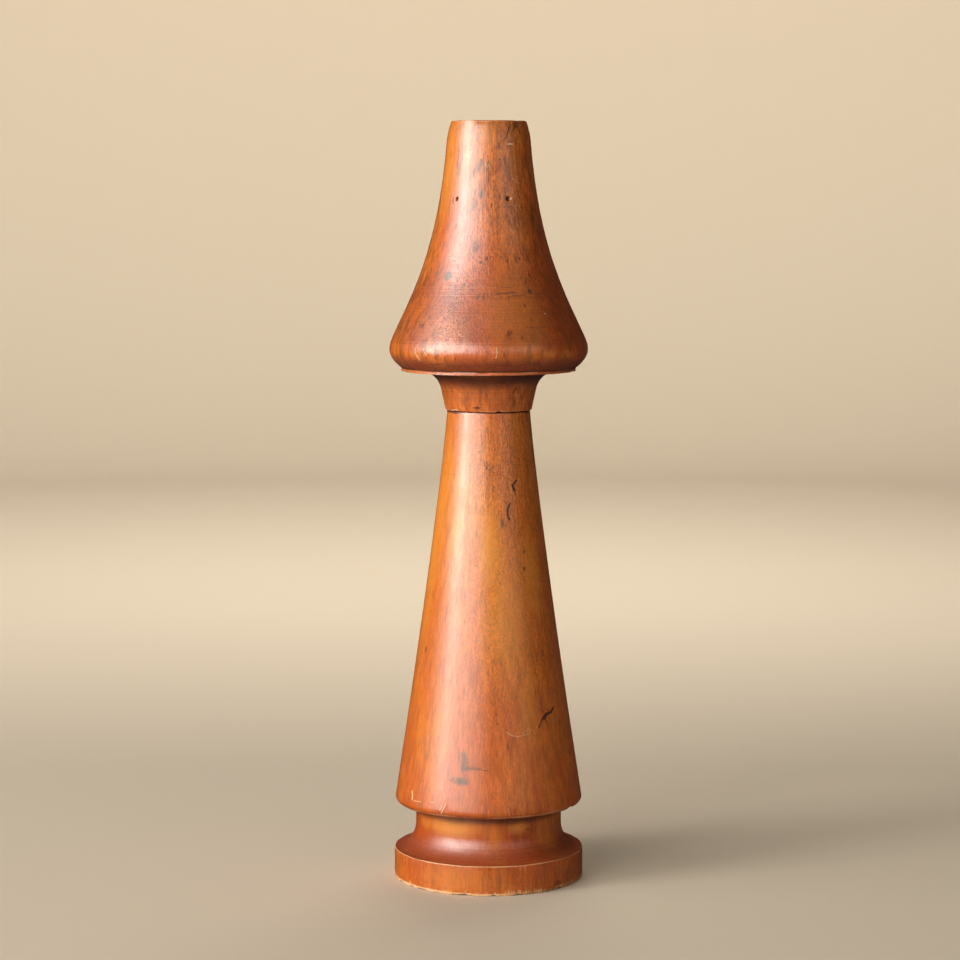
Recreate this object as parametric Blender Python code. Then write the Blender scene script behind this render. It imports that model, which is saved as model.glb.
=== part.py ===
# A turned wood roof finial, 18 inches tall. It is two lathe turnings stacked end to end:
# the stem, a hollow-sided cone that stands on its own round foot, and the bell-shaped cap,
# whose collar sits on the stem's small end with a fine open joint between them.
# Metres, +Z up, origin at the centre of the foot's underside.
import math

import bmesh
import bpy

MM = 0.001

# The foot, a plain disc with its arrises just eased
FOOT_RADIUS = 57.4 * MM
FOOT_HEIGHT = 18.1 * MM
FOOT_EDGE_ROUND = 0.6 * MM

# The cove that rises from the foot to the waist, and the plain waist over it
COVE_HEIGHT = 14.7 * MM
WAIST_UNDERCUT = 12.4 * MM  # how far the waist stands in from the skirt
WAIST_HEIGHT = 12.7 * MM

# The stem's long cone, from its skirt, the rounded lower edge, to its small end
SKIRT_RADIUS = 56.7 * MM
SKIRT_ROUND = 3.7 * MM
STEM_LENGTH = 239.1 * MM  # from the skirt's underside to the small end
STEM_TOP_RADIUS = 24.95 * MM
STEM_UPPER_LENGTH = 66.5 * MM  # the stretch below the small end where the side turns upright
STEM_UPPER_TAPER = 7.5 * MM  # how far the radius falls along that stretch
STEM_HOLLOW = 0.55 * MM  # how far the side bows in below it
STEM_TOP_SLOPE = math.radians(4.9)
STEM_TOP_ROUND = 0.5 * MM

# The joint between the two turnings
JOINT_GAP = 0.3 * MM
COLLAR_OVERHANG = 1.1 * MM  # how far the collar stands out over the stem's small end

# The cap's collar, which flares and then sweeps out into the underside of the lip
CAP_HEIGHT = 172.1 * MM  # from the collar's seat to the flat top
COLLAR_HEIGHT = 23.5 * MM
COLLAR_EDGE_ROUND = 0.5 * MM
COLLAR_FLARE = math.radians(12)
COLLAR_COVE_RADIUS = 13.8 * MM

# The lip, the cap's widest part, with a thin band below it
LIP_RADIUS = 59.8 * MM
LIP_RISE = 12.9 * MM  # from the underside to the widest point
LIP_UPPER_ROUND = 14.3 * MM
BAND_SETBACK = 7.3 * MM  # how far the band stands in from the widest point
BAND_HEIGHT = 2.0 * MM
BAND_QUIRK = 0.3 * MM  # the small step from the band out to the lip

# The bell above the lip: a straight slope, a long hollow curve, and a shoulder at the top
BELL_LOWER_SLOPE = math.radians(25.2)
BELL_STRAIGHT_RISE = 19.0 * MM
BELL_NECK_RADIUS = 25.3 * MM
BELL_NECK_SLOPE = math.radians(4.6)
SHOULDER_HEIGHT = 13.0 * MM
SHOULDER_SLOPE = math.radians(16)
TOP_RADIUS = 22.7 * MM
TOP_EDGE_ROUND = 0.5 * MM

# How finely the turnings are divided
SIDES = 64
EDGE_STEPS = 2
SIDE_STEPS = 5
ARC_STEPS = 6
LONG_STEPS = 9
MERGE_DISTANCE = 1e-6

WOOD_COLOUR = (0.50, 0.19, 0.065, 1.0)
CAP_COLOUR = (0.44, 0.15, 0.050, 1.0)
WOOD_ROUGHNESS = 0.32


def arc(centre, across, up, start, end, steps):
    """Points along an ellipse about centre, from the angle start to end, with both ends."""
    angles = [start + (end - start) * k / steps for k in range(steps + 1)]
    return [(centre[0] + across * math.cos(a), centre[1] + up * math.sin(a)) for a in angles]


def round_arc(centre, radius, start, end, steps):
    return arc(centre, radius, radius, start, end, steps)


def hollow_side(lower, upper, hollow, steps):
    """Points of a parabola that bows in by hollow half-way, without the lower end."""
    points = []
    for k in range(1, steps + 1):
        share = k / steps
        radius = lower[0] + (upper[0] - lower[0]) * share - 4 * hollow * share * (1 - share)
        points.append((radius, lower[1] + (upper[1] - lower[1]) * share))
    return points


def swept(lower, upper, lower_slope, upper_slope, steps):
    """Points of a cubic that leaves lower and meets upper at these slopes in from the vertical,
    without the lower end."""
    rise = upper[1] - lower[1]
    leaving = -math.tan(lower_slope) * rise
    meeting = -math.tan(upper_slope) * rise
    points = []
    for k in range(1, steps + 1):
        s = k / steps
        radius = (
            lower[0] * (2 * s**3 - 3 * s**2 + 1)
            + leaving * (s**3 - 2 * s**2 + s)
            + upper[0] * (3 * s**2 - 2 * s**3)
            + meeting * (s**3 - s**2)
        )
        points.append((radius, lower[1] + rise * s))
    return points


def skirt_underside():
    return FOOT_HEIGHT + COVE_HEIGHT + WAIST_HEIGHT


def stem_top():
    return skirt_underside() + STEM_LENGTH


def foot_points():
    """The disc, from the middle of its underside to where the cove starts on its top."""
    inner = FOOT_RADIUS - FOOT_EDGE_ROUND
    lower = round_arc((inner, FOOT_EDGE_ROUND), FOOT_EDGE_ROUND, -math.pi / 2, 0, EDGE_STEPS)
    upper = round_arc(
        (inner, FOOT_HEIGHT - FOOT_EDGE_ROUND), FOOT_EDGE_ROUND, 0, math.pi / 2, EDGE_STEPS
    )
    return [(0, 0)] + lower + upper


def cove_points():
    """A quarter ellipse, level where it leaves the foot and upright where it meets the waist."""
    outer = FOOT_RADIUS - FOOT_EDGE_ROUND
    waist = SKIRT_RADIUS - WAIST_UNDERCUT
    centre = (outer, FOOT_HEIGHT + COVE_HEIGHT)
    return arc(centre, outer - waist, COVE_HEIGHT, 1.5 * math.pi, math.pi, LONG_STEPS)[1:]


def cone_points():
    """The waist's top corner, the skirt's rounded edge, the hollow side and the small end."""
    underside = skirt_underside()
    top = stem_top()
    bend = (STEM_TOP_RADIUS + STEM_UPPER_TAPER, top - STEM_UPPER_LENGTH)
    slope = (SKIRT_RADIUS - bend[0]) / (bend[1] - underside)
    turn = 4 * STEM_HOLLOW / (bend[1] - underside)
    lean = math.atan(slope + turn)
    skirt = round_arc(
        (SKIRT_RADIUS - SKIRT_ROUND, underside + SKIRT_ROUND),
        SKIRT_ROUND,
        -math.pi / 2,
        lean,
        ARC_STEPS,
    )
    small_end = round_arc(
        (STEM_TOP_RADIUS - STEM_TOP_ROUND, top - STEM_TOP_ROUND),
        STEM_TOP_ROUND,
        0,
        math.pi / 2,
        EDGE_STEPS,
    )
    side = hollow_side(skirt[-1], bend, STEM_HOLLOW, SIDE_STEPS)
    flare = swept(bend, small_end[0], math.atan(slope - turn), STEM_TOP_SLOPE, SIDE_STEPS)
    waist_top = (SKIRT_RADIUS - WAIST_UNDERCUT, underside)
    return [waist_top] + skirt + side + flare + small_end[1:] + [(0, top)]


def collar_points(seat):
    """The collar from the middle of its seat up its flare and out along its cove."""
    seat_radius = STEM_TOP_RADIUS + COLLAR_OVERHANG
    underside = seat + COLLAR_HEIGHT
    edge = round_arc(
        (seat_radius - COLLAR_EDGE_ROUND, seat + COLLAR_EDGE_ROUND),
        COLLAR_EDGE_ROUND,
        -math.pi / 2,
        -COLLAR_FLARE,
        EDGE_STEPS,
    )
    centre_height = underside - COLLAR_COVE_RADIUS
    meets = centre_height + COLLAR_COVE_RADIUS * math.sin(COLLAR_FLARE)
    meets_radius = seat_radius + (meets - seat) * math.tan(COLLAR_FLARE)
    centre = (meets_radius + COLLAR_COVE_RADIUS * math.cos(COLLAR_FLARE), centre_height)
    cove = round_arc(
        centre, COLLAR_COVE_RADIUS, math.pi - COLLAR_FLARE, math.pi / 2, ARC_STEPS
    )
    return [(0, seat)] + edge + cove


def lip_points(underside):
    """The thin band, its step, a parabola out to the widest point, and a round arc up to the
    bell's straight slope."""
    band_radius = LIP_RADIUS - BAND_SETBACK
    band_top = underside + BAND_HEIGHT
    widest = underside + LIP_RISE
    reach = BAND_SETBACK - BAND_QUIRK
    lower = []
    for k in range(LONG_STEPS):
        below = 1 - k / (LONG_STEPS - 1)
        lower.append((LIP_RADIUS - reach * below**2, widest - (widest - band_top) * below))
    upper = round_arc(
        (LIP_RADIUS - LIP_UPPER_ROUND, widest), LIP_UPPER_ROUND, 0, BELL_LOWER_SLOPE, EDGE_STEPS + 1
    )
    return [(band_radius, underside), (band_radius, band_top)] + lower + upper[1:]


def bell_points(lip_end, top):
    """The straight slope, the hollow of the bell, the shoulder and the flat top."""
    straight_end = (
        lip_end[0] - BELL_STRAIGHT_RISE * math.tan(BELL_LOWER_SLOPE),
        lip_end[1] + BELL_STRAIGHT_RISE,
    )
    neck = (BELL_NECK_RADIUS, top - SHOULDER_HEIGHT)
    hollow = swept(straight_end, neck, BELL_LOWER_SLOPE, BELL_NECK_SLOPE, LONG_STEPS)
    shoulder_end = (TOP_RADIUS, top - TOP_EDGE_ROUND)
    shoulder = swept(neck, shoulder_end, BELL_NECK_SLOPE, SHOULDER_SLOPE, ARC_STEPS // 2)
    rim = round_arc(
        (TOP_RADIUS - TOP_EDGE_ROUND, top - TOP_EDGE_ROUND),
        TOP_EDGE_ROUND,
        0,
        math.pi / 2,
        EDGE_STEPS,
    )
    return [straight_end] + hollow + shoulder + rim[1:] + [(0, top)]


def stem_outline():
    return foot_points() + cove_points() + cone_points()


def cap_outline():
    seat = stem_top() + JOINT_GAP
    collar = collar_points(seat)
    lip = lip_points(seat + COLLAR_HEIGHT)
    return collar + lip + bell_points(lip[-1], seat + CAP_HEIGHT)


def wood(name, colour):
    material = bpy.data.materials.new(name)
    material.use_nodes = True
    shader = material.node_tree.nodes["Principled BSDF"]
    shader.inputs["Base Color"].default_value = colour
    shader.inputs["Roughness"].default_value = WOOD_ROUGHNESS
    shader.inputs["Metallic"].default_value = 0.0
    return material


def turned(name, outline, material):
    """Turns an outline of (radius, height) points, which runs from axis to axis, about Z."""
    mesh = bpy.data.meshes.new(name)
    shape = bmesh.new()
    rim = [shape.verts.new((radius, 0, height)) for radius, height in outline]
    edges = [shape.edges.new(pair) for pair in zip(rim, rim[1:])]
    bmesh.ops.spin(
        shape,
        geom=rim + edges,
        cent=(0, 0, 0),
        axis=(0, 0, 1),
        angle=2 * math.pi,
        steps=SIDES,
        use_duplicate=False,
    )
    bmesh.ops.remove_doubles(shape, verts=shape.verts, dist=MERGE_DISTANCE)
    bmesh.ops.recalc_face_normals(shape, faces=shape.faces)
    shape.to_mesh(mesh)
    shape.free()
    mesh.materials.append(material)
    mesh.shade_smooth()
    mesh.set_sharp_from_angle(angle=math.radians(35))
    piece = bpy.data.objects.new(name, mesh)
    bpy.context.scene.collection.objects.link(piece)
    return piece


def main():
    for old in list(bpy.data.objects):
        bpy.data.objects.remove(old)
    turned("stem", stem_outline(), wood("stem_wood", WOOD_COLOUR))
    turned("cap", cap_outline(), wood("cap_wood", CAP_COLOUR))


main()
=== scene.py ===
# Looks of a turned wood roof finial: two lathe turnings of straight-grained wood under old amber
# varnish, worn pale along the arrises, with cracks, stains, knocks and insect holes.
import math
import bpy
import numpy as np
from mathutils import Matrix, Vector


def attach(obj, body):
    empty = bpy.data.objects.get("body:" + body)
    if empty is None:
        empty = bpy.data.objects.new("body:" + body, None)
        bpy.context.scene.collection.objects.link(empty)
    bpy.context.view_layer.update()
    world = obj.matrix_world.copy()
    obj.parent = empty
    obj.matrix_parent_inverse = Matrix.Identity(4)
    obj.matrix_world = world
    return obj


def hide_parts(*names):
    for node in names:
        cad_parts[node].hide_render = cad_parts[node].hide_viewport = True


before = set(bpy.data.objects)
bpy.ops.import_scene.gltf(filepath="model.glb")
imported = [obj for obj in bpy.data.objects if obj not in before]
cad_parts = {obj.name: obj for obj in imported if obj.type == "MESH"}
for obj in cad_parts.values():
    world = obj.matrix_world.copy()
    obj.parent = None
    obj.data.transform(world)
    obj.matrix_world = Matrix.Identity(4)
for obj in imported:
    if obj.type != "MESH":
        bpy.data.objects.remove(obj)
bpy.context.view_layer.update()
scene = bpy.context.scene
mm = 0.001
print("frame loaded")


# a bell of a distance: exp(-(distance / reach)^2)
def bell(distance, reach):
    return np.exp(-((distance / reach) ** 2))


# smooth step of a value: 0 up to 0, 1 from 1, and v^2 (3 - 2v) between
def eased(value):
    value = np.clip(value, 0, 1)
    return value**2 * (3 - 2 * value)


# running mean of values over a Hann window of so many points
def smoothed(values, points):
    window = np.hanning(points)
    return np.convolve(np.pad(values, points // 2, "edge"), window / window.sum(), "valid")[:len(values)]


# a turn less the given degrees, in radians within half a turn either way
def turnFrom(turn, degrees):
    return (turn - math.radians(degrees) + math.pi) % (2 * math.pi) - math.pi


# a new object from its mesh, camera or light
def placed(name, data):
    made = bpy.data.objects.new(name, data)
    scene.collection.objects.link(made)
    return made


# Points on each stretch, on the whole outline, and those over which its normals are smoothed;
# below the gap, in metres, two points count as one
sampling = {"round": 40, "straight": 60, "cove": 80, "bell": 90, "whole": 9000, "normals": 9, "gap": 1e-7}


# Outlines. A stretch of outline is an array of (radius, height) rows, bottom to top.
# round: centre + (across cos a, up sin a) for angles a in degrees from start to end
def roundStretch(centre, across, up, start, end, count=sampling["round"]):
    angle = np.radians(np.linspace(start, end, count))
    return np.stack([centre[0] + across * np.cos(angle), centre[1] + up * np.sin(angle)], 1)


# straight line from lower to upper, its radius less by 4 hollow s (1 - s)
def hollowStretch(lower, upper, hollow=0.0):
    s = np.linspace(0, 1, sampling["straight"])
    radius = lower[0] + (upper[0] - lower[0]) * s - 4 * hollow * s * (1 - s)
    return np.stack([radius, lower[1] + (upper[1] - lower[1]) * s], 1)


# Hermite cubic in s from lower to upper, leaning in by the given degrees at its two ends
def sweptStretch(lower, upper, lowerLean, upperLean, count=sampling["straight"]):
    s = np.linspace(0, 1, count)
    rise = upper[1] - lower[1]
    leave = -math.tan(math.radians(lowerLean)) * rise
    meet = -math.tan(math.radians(upperLean)) * rise
    radius = (lower[0] * (2 * s**3 - 3 * s**2 + 1) + leave * (s**3 - 2 * s**2 + s)
              + upper[0] * (3 * s**2 - 2 * s**3) + meet * (s**3 - s**2))
    return np.stack([radius, lower[1] + rise * s], 1)


# The rows of a turned piece. The running sum of length / step + turning / turnStep, with more of it
# at busy heights, is shared out evenly, so that arrises and holes get the closest rows. Near a
# softened height the radius is first mixed with its mean over a Hann window, so the curve eases.
def chooseRows(stretches, build):
    outline = np.concatenate(list(stretches.values()))
    fresh = np.append(True, np.hypot(*np.diff(outline, axis=0).T) > sampling["gap"])
    outline = outline[fresh]
    length = np.append(0, np.cumsum(np.hypot(*np.diff(outline, axis=0).T)))
    along = np.linspace(0, length[-1], sampling["whole"])
    radius, height = (np.interp(along, length, column) for column in outline.T)
    for place, reach in build["softened"]:
        smooth = smoothed(radius, int(2 * reach * mm / along[1]))
        radius = radius + (smooth - radius) * bell(height - place * mm, reach * mm)
    heading = np.unwrap(np.arctan2(np.gradient(height), np.gradient(radius)))
    weight = 1 / build["step"] + np.abs(np.gradient(heading, along)) / build["turnStep"]
    for place, reach, finer in build["busy"]:
        weight += finer / build["step"] * bell(height - place * mm, reach * mm)
    total = np.append(0, np.cumsum((weight[1:] + weight[:-1]) / 2 * np.diff(along)))
    rows = np.interp(np.linspace(0, total[-1], build["rows"]), total, along)
    outAcross = smoothed(np.sin(heading), sampling["normals"])
    outUp = smoothed(-np.cos(heading), sampling["normals"])
    found = [np.interp(rows, along, values) for values in (radius, height, outAcross, outUp)]
    middles = {}
    passed = 0.0
    for name, points in stretches.items():
        part = np.hypot(*np.diff(points, axis=0).T).sum()
        middles[name] = passed + part / 2
        passed += part
    return rows, found, {"middles": middles, "along": along, "radius": radius, "height": height}


# plane waves: their number, the fewest and most to a wavelength, and their usual peak
ripple = {"count": 28, "fewest": 0.6, "most": 1.5, "peak": 1.4}


# sum of sin(k . p + phase) over random directions k near one wavelength, within about -1 to 1
def waves(points, wavelength, seed):
    count = ripple["count"]
    random = np.random.default_rng(seed)
    direction = random.normal(size=(count, 3))
    direction /= np.linalg.norm(direction, axis=1, keepdims=True)
    direction *= (2 * math.pi / wavelength) * random.uniform(ripple["fewest"], ripple["most"], (count, 1))
    phase = random.uniform(0, 2 * math.pi, count)
    found = np.zeros(points.shape[:-1])
    for k in range(count):
        found += np.sin(points @ direction[k] + phase[k])
    return found / math.sqrt(count) / ripple["peak"]


# where a height in mm lies on the outline: length along and radius, in metres
def onOutline(guide, level):
    endFace = 21 * mm  # the flat ends, within this radius, are passed over
    away = np.abs(guide["height"] - level * mm) + (guide["radius"] < endFace)
    k = int(np.argmin(away))
    return guide["along"][k], guide["radius"][k]


# A patch fades between two distances from its middle, in half sizes. Waves shake its edge: their
# size and wavelength in mm, and seeds for across and up.
fading = {"outer": 1.75, "inner": 0.25, "shake": 0.5, "wave": 6, "acrossSeed": 90, "upSeed": 91}


# Soft patches: turn in degrees, height, tall and wide in mm, lean in degrees from upright towards
# the right, strength. Each is a smooth step of the distance from its middle.
def softPatches(listed, points, turn, along, guide):
    total = np.zeros(points.shape[:-1])
    sway = fading["shake"] * mm * waves(points, fading["wave"] * mm, fading["acrossSeed"])
    swell = fading["shake"] * mm * waves(points, fading["wave"] * mm, fading["upSeed"])
    for degrees, level, tall, wide, lean, strength in listed:
        s, radius = onOutline(guide, level)
        across = turnFrom(turn, degrees) * radius + sway
        up = along - s + swell
        cos, sin = math.cos(math.radians(lean)), math.sin(math.radians(lean))
        lengthways, sideways = across * sin + up * cos, across * cos - up * sin
        away = np.hypot(lengthways / (tall * mm / 2), sideways / (wide * mm / 2))
        inside = eased((fading["outer"] - away) / (fading["outer"] - fading["inner"]))
        total = np.maximum(total, strength * inside)
    return total


# both pieces' wear: wavelength of the wander and depth of the holes in mm, a hole's rim in half
# widths, and the most that a wave bites into an arris
wearing = {"wanderWave": 45, "holeDepth": 1.8, "holeRim": 1.2, "biteMost": 1.3}


# The wear that a turned piece's dictionary lists, in metres out along the surface's normal: a slight
# oval r cos 2t and broad waves, both less where the surface lies flat, dents as bells exp(-d^2), round
# holes, and arrises worn back by waves along them
def wear(piece, points, turn, along, outUp, guide):
    upright = 1 - outUp**4
    swing = piece["oval"] * mm * np.cos(2 * turn + piece["ovalTurn"])
    wander = piece["wander"] * mm * waves(points, wearing["wanderWave"] * mm, piece["seed"])
    moved = (swing + wander) * upright
    reach = np.hypot(points[..., 0], points[..., 1])

    def away(degrees, level, wide):
        return np.hypot(turnFrom(turn, degrees) * reach, points[..., 2] - level * mm) / (wide * mm / 2)

    for degrees, level, wide, depth in piece["dents"]:
        moved = moved - depth * mm * bell(away(degrees, level, wide), 1)
    for degrees, level, wide in piece["holes"]:
        inside = np.clip(wearing["holeRim"] - away(degrees, level, wide), 0, 1)
        moved = moved - wearing["holeDepth"] * mm * np.sqrt(inside)
    for seed, (edge, width, depth, wave, cover) in enumerate(piece["arrisWear"], piece["seed"] + 1):
        bite = np.clip(waves(points, wave * mm, seed) + cover, 0, wearing["biteMost"])
        moved = moved - depth * mm * bite * bell(along - guide["middles"][edge], width * mm)
    return moved


# squares between rings of points: each one's row, column and corners
def ringFaces(rings, columns):
    row, column = np.meshgrid(np.arange(rings - 1), np.arange(columns), indexing="ij")
    after = (column + 1) % columns
    low, high = row * columns, (row + 1) * columns
    corners = np.stack([low + column, low + after, high + after, high + column], -1)
    return row, column, corners.reshape(-1, 4)


# A turned piece from radius r(s) and height z(s) of its outline and the turn t, 0 at the front:
# (x, y, z) = (r sin t, -r cos t, z), moved by the wear along the normal, with both poles closed
def turnedPiece(name, stretches, piece):
    rows, (radius, height, outAcross, outUp), guide = chooseRows(stretches, piece["build"])
    columns = piece["build"]["columns"]
    turn = np.linspace(-math.pi, math.pi, columns, endpoint=False)
    ring = np.stack([np.sin(turn), -np.cos(turn)], 1)
    inner = slice(1, len(rows) - 1)
    flat = np.empty((len(rows) - 2, columns, 3))
    flat[..., :2] = radius[inner, None, None] * ring
    flat[..., 2] = height[inner, None]
    out = np.empty_like(flat)
    out[..., :2] = outAcross[inner, None, None] * ring
    out[..., 2] = outUp[inner, None]
    moved = wear(piece, flat, turn[None, :], rows[inner, None], outUp[inner, None], guide)
    points = flat + out * moved[..., None]
    count = len(points)
    verts = np.concatenate([points.reshape(-1, 3), [[0, 0, height[0]], [0, 0, height[-1]]]])
    row, column, quads = ringFaces(count, columns)
    spoke = np.arange(columns)
    nextSpoke = (spoke + 1) % columns
    top = (count - 1) * columns
    lowFan = np.stack([np.full(columns, count * columns), nextSpoke, spoke], 1)
    highFan = np.stack([np.full(columns, count * columns + 1), top + spoke, top + nextSpoke], 1)
    mesh = bpy.data.meshes.new(name)
    mesh.from_pydata(verts.tolist(), [], quads.tolist() + lowFan.tolist() + highFan.tolist())
    # the UV map holds the turn in radians and the length along the outline in metres
    s = rows[inner]
    stepTurn = 2 * math.pi / columns
    left, right = turn[column], turn[column] + stepTurn
    quadUV = np.stack([left, s[row], right, s[row], right, s[row + 1], left, s[row + 1]], -1)
    start, half, end = turn, turn + stepTurn / 2, turn + stepTurn
    lowUV = np.stack([half, 0 * turn, end, 0 * turn + s[0], start, 0 * turn + s[0]], -1)
    highUV = np.stack([half, 0 * turn + rows[-1], start, 0 * turn + s[-1], end, 0 * turn + s[-1]], -1)
    layer = mesh.uv_layers.new(name="turned")
    layer.uv.foreach_set("vector", np.concatenate(
        [quadUV.ravel(), lowUV.ravel(), highUV.ravel()]).astype(np.float32))
    shares = {"lean": (np.repeat(outUp[inner], columns), [-1, 1])}
    for kind in ("glow", "stain", "smear"):
        found = softPatches(piece["look"][kind + "s"], flat, turn[None, :], rows[inner, None], guide)
        shares[kind] = (found.ravel(), [0, 0])
    for kind, (values, poles) in shares.items():
        layer = mesh.attributes.new(kind, "FLOAT", "POINT")
        layer.data.foreach_set("value", np.append(values, poles).astype(np.float32))
    mesh.shade_smooth()
    mesh.update()
    print(f"{name}: {len(quads) * 2 + columns * 2} triangles")
    return placed(name, mesh), guide


# an operator and its reflected form, as a Math node
def operatorPair(operation):
    return (lambda self, other: self.math(operation, self, other),
            lambda self, other: self.math(operation, other, self))


# Materials. A Field is one value in a material; Python's operators on it add Math nodes.
class Field:
    __add__, __radd__ = operatorPair("ADD")
    __sub__, __rsub__ = operatorPair("SUBTRACT")
    __mul__, __rmul__ = operatorPair("MULTIPLY")
    __truediv__, __rtruediv__ = operatorPair("DIVIDE")

    def __init__(self, finish, socket):
        self.finish = finish
        self.socket = socket

    def math(self, operation, *values):
        return self.finish.node("ShaderNodeMath", {"operation": operation}, dict(enumerate(values)))

    def __abs__(self):
        return self.math("ABSOLUTE", self)

    # smooth step from 0 at low to 1 at high; low may be the larger of the two
    def ramp(self, low, high):
        return self.finish.node("ShaderNodeMapRange", {"interpolation_type": "SMOOTHSTEP"},
                                {"Value": self, "From Min": low, "From Max": high})

    # the value times a gain, on a base
    def scaled(self, gain, base):
        return self * gain + base

    # the value less a half
    def centred(self):
        return self - 0.5

    # the value and another mixed, the other by its share
    def blend(self, other, share):
        return self * (1 - share) + other * share


# the largest of several masks
def largest(masks):
    total = masks[0]
    for mask in masks[1:]:
        total = total.math("MAXIMUM", total, mask)
    return total


class Finish:
    def __init__(self, name):
        self.material = bpy.data.materials.new(name)
        self.material.use_nodes = True
        self.tree = self.material.node_tree
        self.shader = self.tree.nodes["Principled BSDF"]

    def feed(self, socket, value):
        if isinstance(value, Field):
            self.tree.links.new(value.socket, socket)
        else:
            socket.default_value = value

    # values or links for the shader's own sockets
    def surface(self, sockets):
        for key, value in sockets.items():
            self.feed(self.shader.inputs[key], value)

    # any node: its type, settings, values or links of its sockets, and the output to read
    def node(self, kind, settings, sockets, output=0):
        made = self.tree.nodes.new(kind)
        for key, value in settings.items():
            if key == "stops":
                elements = made.color_ramp.elements
                while len(elements) < len(value):
                    elements.new(0.5)
                for element, (place, colour) in zip(elements, value):
                    element.position = place
                    element.color = colour
            else:
                setattr(made, key, value)
        for key, value in sockets.items():
            self.feed(made.inputs[key], value)
        return Field(self, made.outputs[output])

    def noise(self, place, scale, detail, rough, output):
        return self.node("ShaderNodeTexNoise", {}, {
            "Vector": place, "Scale": scale, "Detail": detail, "Roughness": rough}, output)

    def share(self, name):
        return self.node("ShaderNodeAttribute", {"attribute_name": name}, {}, "Fac")

    def vector(self, operation, *values, output=0):
        sockets = dict(enumerate(values))
        return self.node("ShaderNodeVectorMath", {"operation": operation}, sockets, output)

    # share 0 keeps the first colour, share 1 gives the second
    def mix(self, first, second, share, way="MIX"):
        return self.node("ShaderNodeMix", {"data_type": "RGBA", "blend_type": way},
                         {0: share, 6: first, 7: second}, 2)


# an sRGB colour, 0 to 255, as the renderer's linear values
def paint(red, green, blue):
    return tuple(((c / 255 + 0.055) / 1.055) ** 2.4 for c in (red, green, blue)) + (1.0,)


# (turn, length along, 1) measured from a point with the first axis laid at an angle, in units of
# long and wide: (x, y) = ((cos a, sin a), (-sin a, cos a)) times (radius (t - t0), s - s0)
def fromPoint(finish, spot, guide, turn, level, angle, long=1.0, wide=1.0):
    s, radius = onOutline(guide, level)
    cos, sin = math.cos(angle), math.sin(angle)
    across = radius * math.radians(turn)
    first = (cos * radius / long, sin / long, -(cos * across + sin * s) / long)
    second = (-sin * radius / wide, cos / wide, (sin * across - cos * s) / wide)
    return finish.node("ShaderNodeCombineXYZ", {}, {
        "X": finish.vector("DOT_PRODUCT", spot, first, output="Value"),
        "Y": finish.vector("DOT_PRODUCT", spot, second, output="Value")})


# Specks are ellipses listed as soft patches are; each mask is 1 within, fading over the soft share
def specks(finish, spot, guide, listed, soft=0.5):
    masks = []
    for turn, level, tall, wide, lean, strength in listed:
        angle = math.radians(90 - lean)
        local = fromPoint(finish, spot, guide, turn, level, angle, tall * mm / 2, wide * mm / 2)
        masks.append(finish.vector("LENGTH", local, output="Value").ramp(1 + soft, 1 - soft) * strength)
    return largest(masks)


# Strokes are thin lines through points (turn in degrees, height in mm), with a width in mm and a
# strength. The distance to a piece of line is that to the nearest point with 0 <= x <= its length.
def strokes(finish, spot, guide, listed, soft=0.6):
    masks = []
    for wide, strength, points in listed:
        for (turn, level), (nextTurn, nextLevel) in zip(points, points[1:]):
            s, radius = onOutline(guide, level)
            climb = onOutline(guide, nextLevel)[0] - s
            run = math.radians(nextTurn - turn) * radius
            angle, length = math.atan2(climb, run), math.hypot(climb, run)
            local = fromPoint(finish, spot, guide, turn, level, angle)
            nearest = finish.vector("MINIMUM", finish.vector("MAXIMUM", local, (0, 0, 0)), (length, 0, 0))
            far = finish.vector("DISTANCE", local, nearest, output="Value")
            masks.append(far.ramp(wide * mm / 2 * (1 + soft), wide * mm / 2 * (1 - soft)) * strength)
    return largest(masks)


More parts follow.
